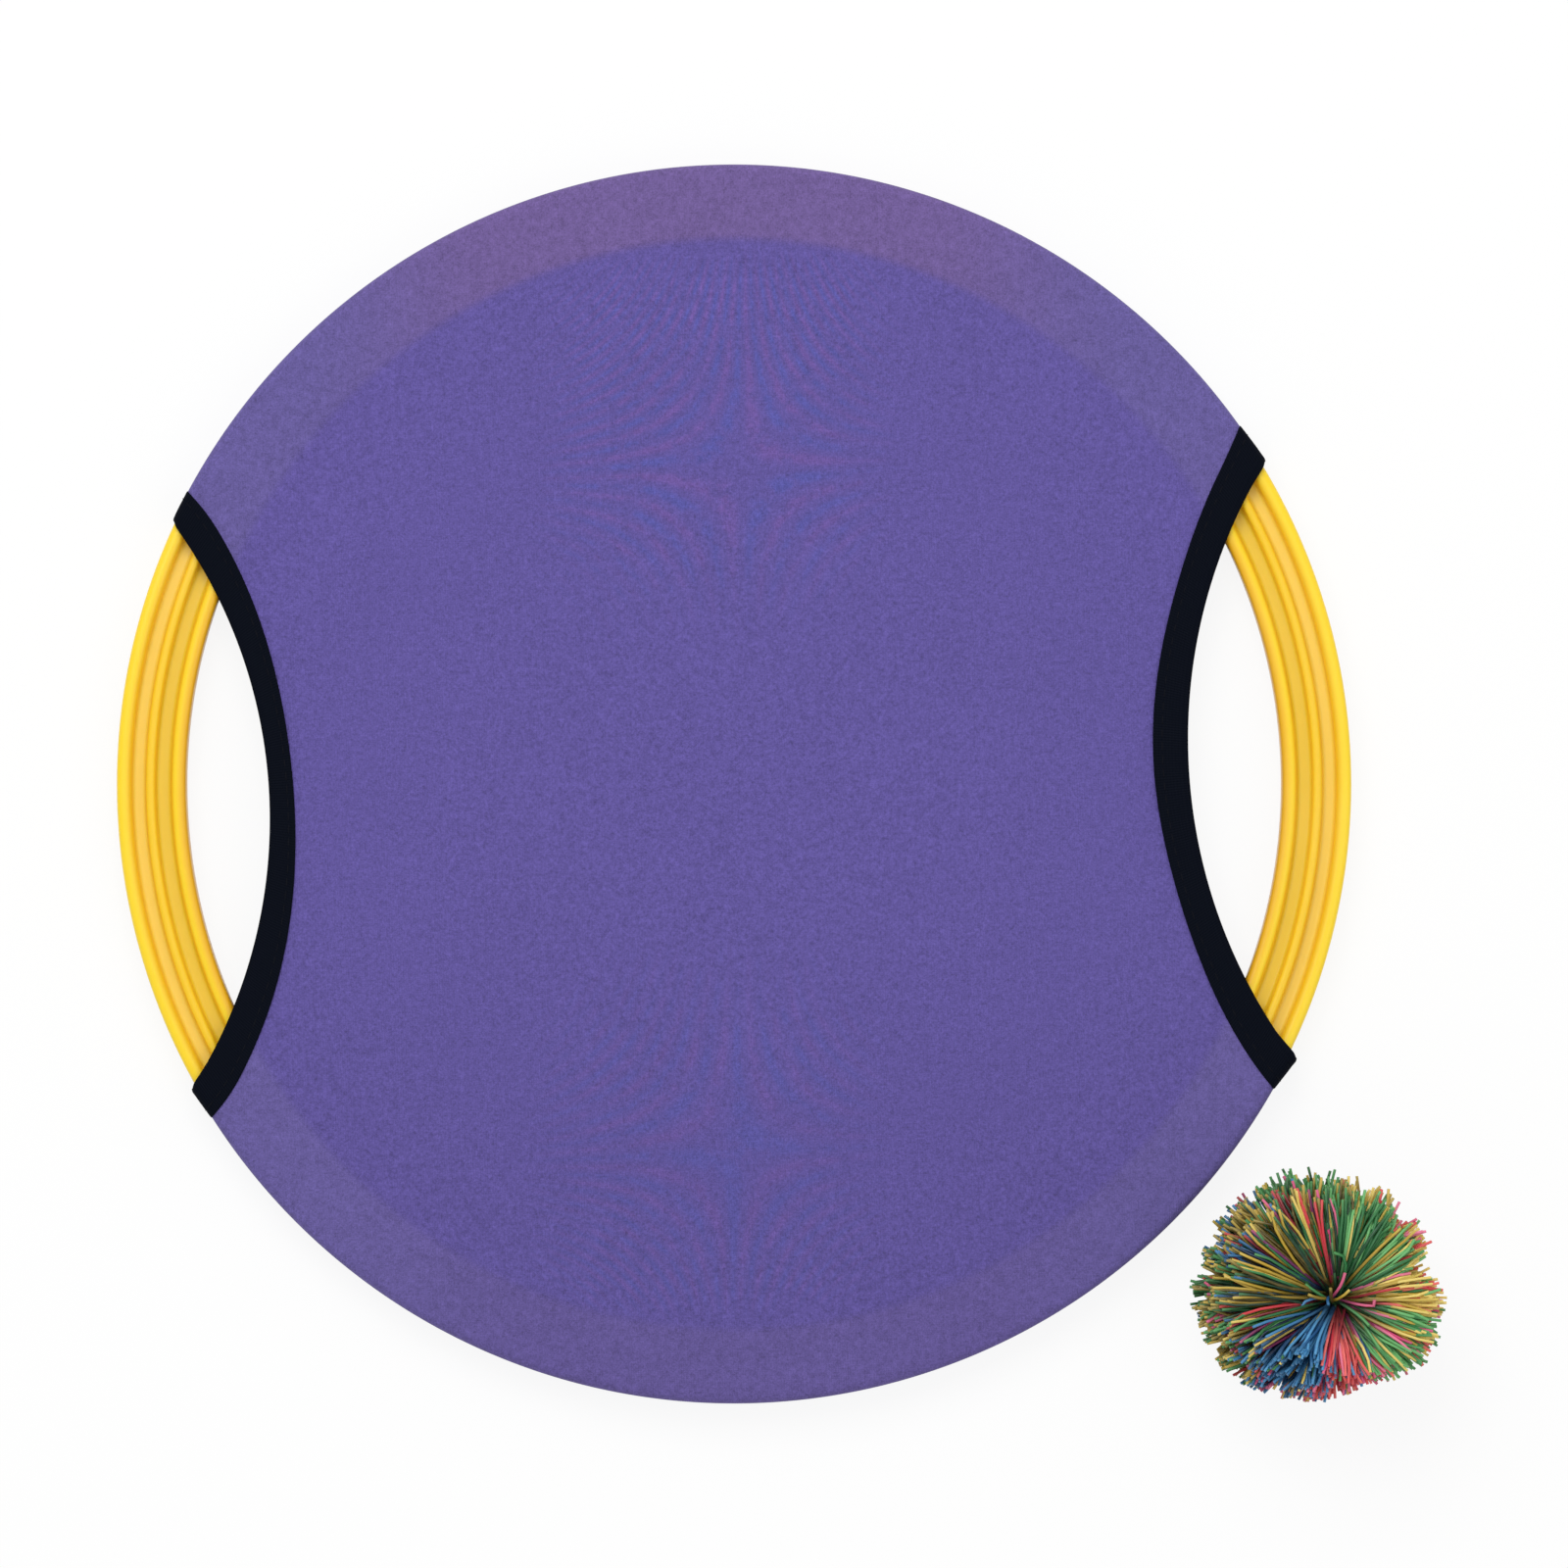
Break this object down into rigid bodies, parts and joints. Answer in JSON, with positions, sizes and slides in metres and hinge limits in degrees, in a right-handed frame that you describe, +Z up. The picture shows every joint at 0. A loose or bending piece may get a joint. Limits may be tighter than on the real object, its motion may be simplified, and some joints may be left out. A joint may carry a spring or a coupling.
{
  "type": "trampoline paddle ball set",
  "caption": "Round hand trampoline of stretched fabric on a ribbed plastic ring with a hand gap at each side, and a ball of coloured rubber strands.",
  "frame": {"origin": "centre of the paddle, on the outer face of the cover that lies underneath", "axes": "+X through the right hand gap, +Y towards the paddle's upper edge, +Z up out of the face that is played on; the ball lies at +X -Y"},
  "size_m": [0.289, 0.278, 0.0501],
  "materials": {
    "ring_plastic": "moulded, semi-gloss",
    "cover_fabric": "fine elastic knit, matt",
    "edge_tape": "woven tape, matt",
    "ball_tie": "plain",
    "green_rubber": "soft, satin",
    "yellow_rubber": "soft, satin",
    "blue_rubber": "soft, satin",
    "red_rubber": "soft, satin",
    "pink_rubber": "soft, satin"
  },
  "bodies": {
    "root": {"ring_left_grip": "ring_plastic", "ring_right_grip": "ring_plastic", "ring_upper_arc": "ring_plastic", "ring_lower_arc": "ring_plastic", "front_cover_panel": "cover_fabric", "back_cover_panel": "cover_fabric", "front_upper_rim": "cover_fabric", "front_lower_rim": "cover_fabric", "back_upper_rim": "cover_fabric", "back_lower_rim": "cover_fabric", "left_edge_tape": "edge_tape", "right_edge_tape": "edge_tape", "ball_tie": "ball_tie", "yellow_strands_1": "yellow_rubber", "green_strands_1": "green_rubber", "red_strands_1": "red_rubber", "green_strands_2": "green_rubber", "yellow_strands_2": "yellow_rubber", "green_strands_3": "green_rubber", "yellow_strands_3": "yellow_rubber", "blue_strands_1": "blue_rubber", "blue_strands_2": "blue_rubber", "red_strands_2": "red_rubber", "pink_strands_1": "pink_rubber", "green_strands_4": "green_rubber"}
  },
  "joints": []
}
